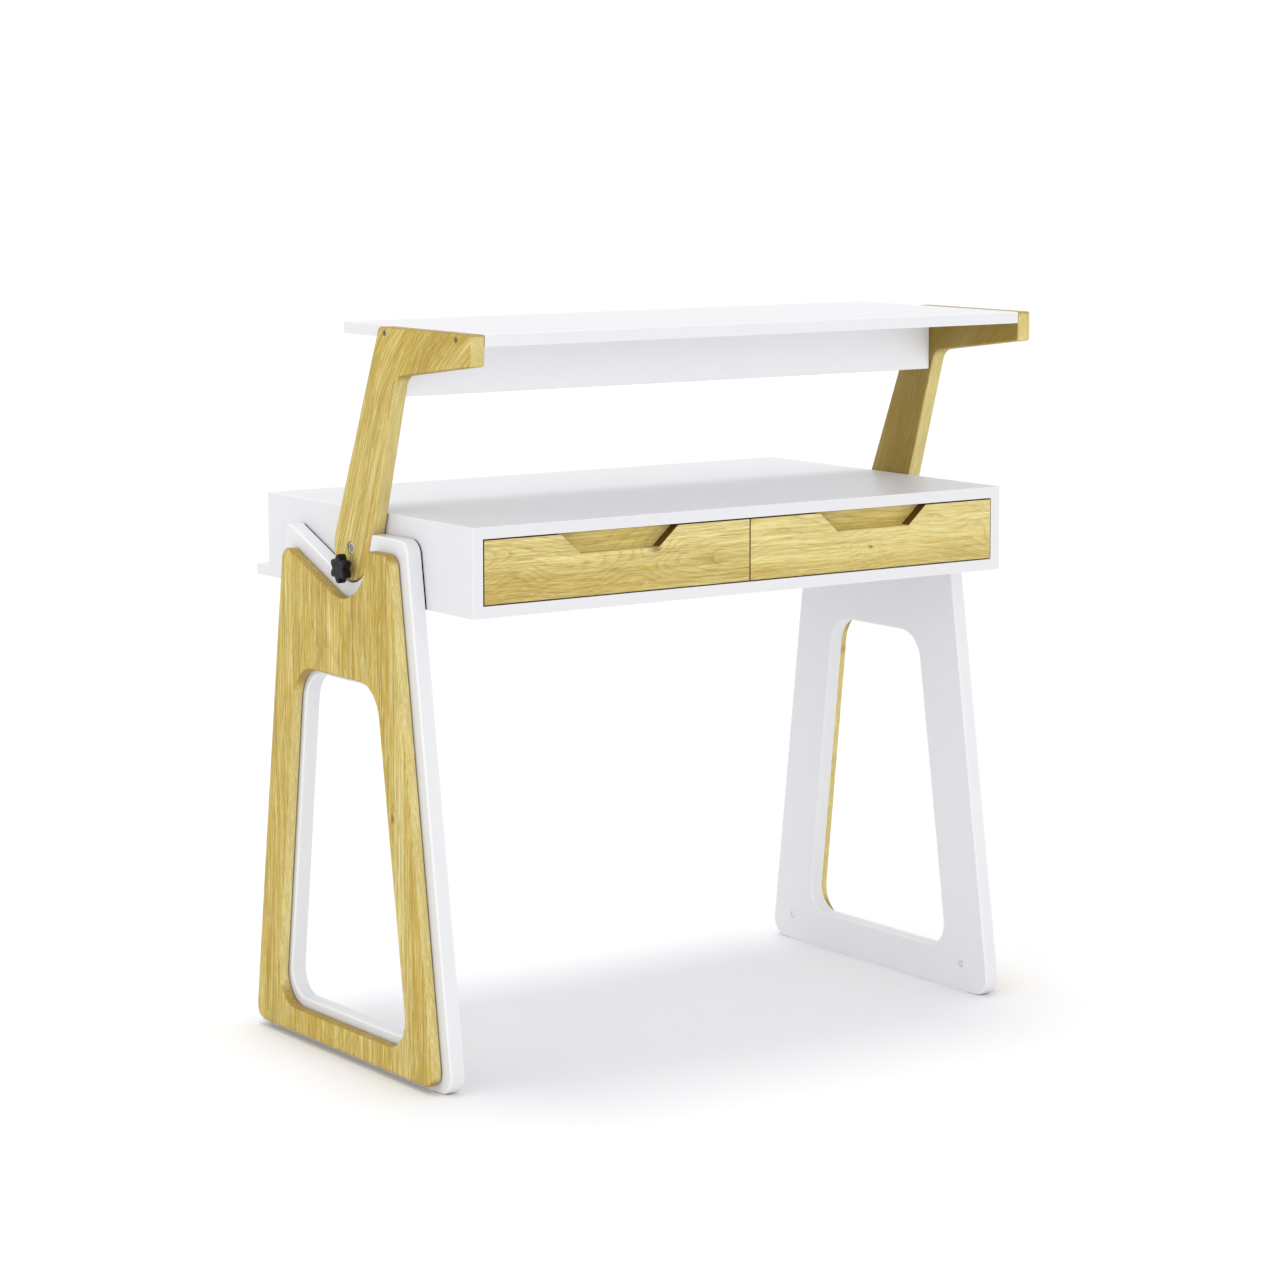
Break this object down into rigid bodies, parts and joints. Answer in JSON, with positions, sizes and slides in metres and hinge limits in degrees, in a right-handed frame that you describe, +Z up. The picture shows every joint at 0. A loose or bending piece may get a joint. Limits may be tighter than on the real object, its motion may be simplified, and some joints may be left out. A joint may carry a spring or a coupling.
{
  "type": "writing desk with tilting shelf",
  "caption": "Desk with slanted panel legs, a drawer box with finger cut-outs and a raised shelf on leaning arms that swings back on clamped side pivots.",
  "frame": {"origin": "on the floor, under the middle of the desk's overall box", "axes": "+Z up, +X towards the right leg as the user sits at the desk, -Y towards the user, +Y towards the back"},
  "size_m": [1.102, 0.676, 1.122],
  "materials": {
    "white_lacquer": "satin white lacquer on board",
    "oak": "light oak, clear satin lacquer",
    "birch_ply": "birch plywood, clear sealed",
    "black_plastic": "moulded black plastic with a slight sheen",
    "white_cap": "white plastic cap over a screw",
    "zinc_steel": "bright zinc-plated steel",
    "chrome": "polished chrome plate"
  },
  "bodies": {
    "desk_frame": {"carcass_top": "white_lacquer", "carcass_bottom": "white_lacquer", "carcass_back": "white_lacquer", "carcass_divider": "white_lacquer", "carcass_side_left": "white_lacquer", "carcass_side_right": "white_lacquer", "leg_panel_left": "white_lacquer", "leg_panel_right": "white_lacquer", "leg_facing_left": "oak", "leg_facing_right": "oak", "leg_spacer_left": "black_plastic", "leg_spacer_right": "black_plastic", "leg_bolt_left_front": "zinc_steel", "leg_bolt_left_rear": "zinc_steel", "leg_bolt_right_front": "zinc_steel", "leg_bolt_right_rear": "zinc_steel", "facing_screw_left_front": "white_cap", "facing_screw_left_rear": "white_cap", "facing_screw_right_front": "white_cap", "facing_screw_right_rear": "white_cap", "pivot_bolt_left": "chrome", "pivot_bolt_right": "chrome", "pivot_nut_left": "zinc_steel", "pivot_nut_right": "zinc_steel", "runner_channel_outer_left": "zinc_steel", "runner_channel_inner_left": "zinc_steel", "runner_channel_outer_right": "zinc_steel", "runner_channel_inner_right": "zinc_steel"},
    "tilt_shelf": {"shelf_board": "white_lacquer", "shelf_apron": "white_lacquer", "arm_left": "oak", "arm_right": "oak", "shelf_screw_left_front": "zinc_steel", "shelf_screw_left_rear": "zinc_steel", "shelf_screw_right_front": "zinc_steel", "shelf_screw_right_rear": "zinc_steel", "clamp_nut_left": "zinc_steel", "clamp_nut_right": "zinc_steel"},
    "clamp_knob_left": {"knob_left": "black_plastic", "knob_stud_left": "zinc_steel"},
    "clamp_knob_right": {"knob_right": "black_plastic", "knob_stud_right": "zinc_steel"},
    "drawer_left": {"drawer_front_left": "oak", "drawer_face_left": "oak", "drawer_wall_outer_left": "birch_ply", "drawer_wall_inner_left": "birch_ply", "drawer_back_left": "birch_ply", "drawer_bottom_left": "birch_ply", "runner_slider_outer_left": "zinc_steel", "runner_slider_inner_left": "zinc_steel"},
    "drawer_right": {"drawer_front_right": "oak", "drawer_face_right": "oak", "drawer_wall_outer_right": "birch_ply", "drawer_wall_inner_right": "birch_ply", "drawer_back_right": "birch_ply", "drawer_bottom_right": "birch_ply", "runner_slider_outer_right": "zinc_steel", "runner_slider_inner_right": "zinc_steel"}
  },
  "joints": [
    {"name": "shelf_tilt", "type": "hinge", "parent": "desk_frame", "child": "tilt_shelf", "pos_m": [0, 0, 0.784], "axis": [-1, 0, 0], "range_deg": [0, 90]},
    {"name": "knob_spin_left", "type": "hinge", "parent": "tilt_shelf", "child": "clamp_knob_left", "pos_m": [-0.551, 0, 0.754], "axis": [-1, 0, 0], "continuous": true},
    {"name": "knob_spin_right", "type": "hinge", "parent": "tilt_shelf", "child": "clamp_knob_right", "pos_m": [0.551, 0, 0.754], "axis": [1, 0, 0], "continuous": true},
    {"name": "drawer_slide_left", "type": "slide", "parent": "desk_frame", "child": "drawer_left", "axis": [0, -1, 0], "range_m": [0, 0.33]},
    {"name": "drawer_slide_right", "type": "slide", "parent": "desk_frame", "child": "drawer_right", "axis": [0, -1, 0], "range_m": [0, 0.33]}
  ]
}
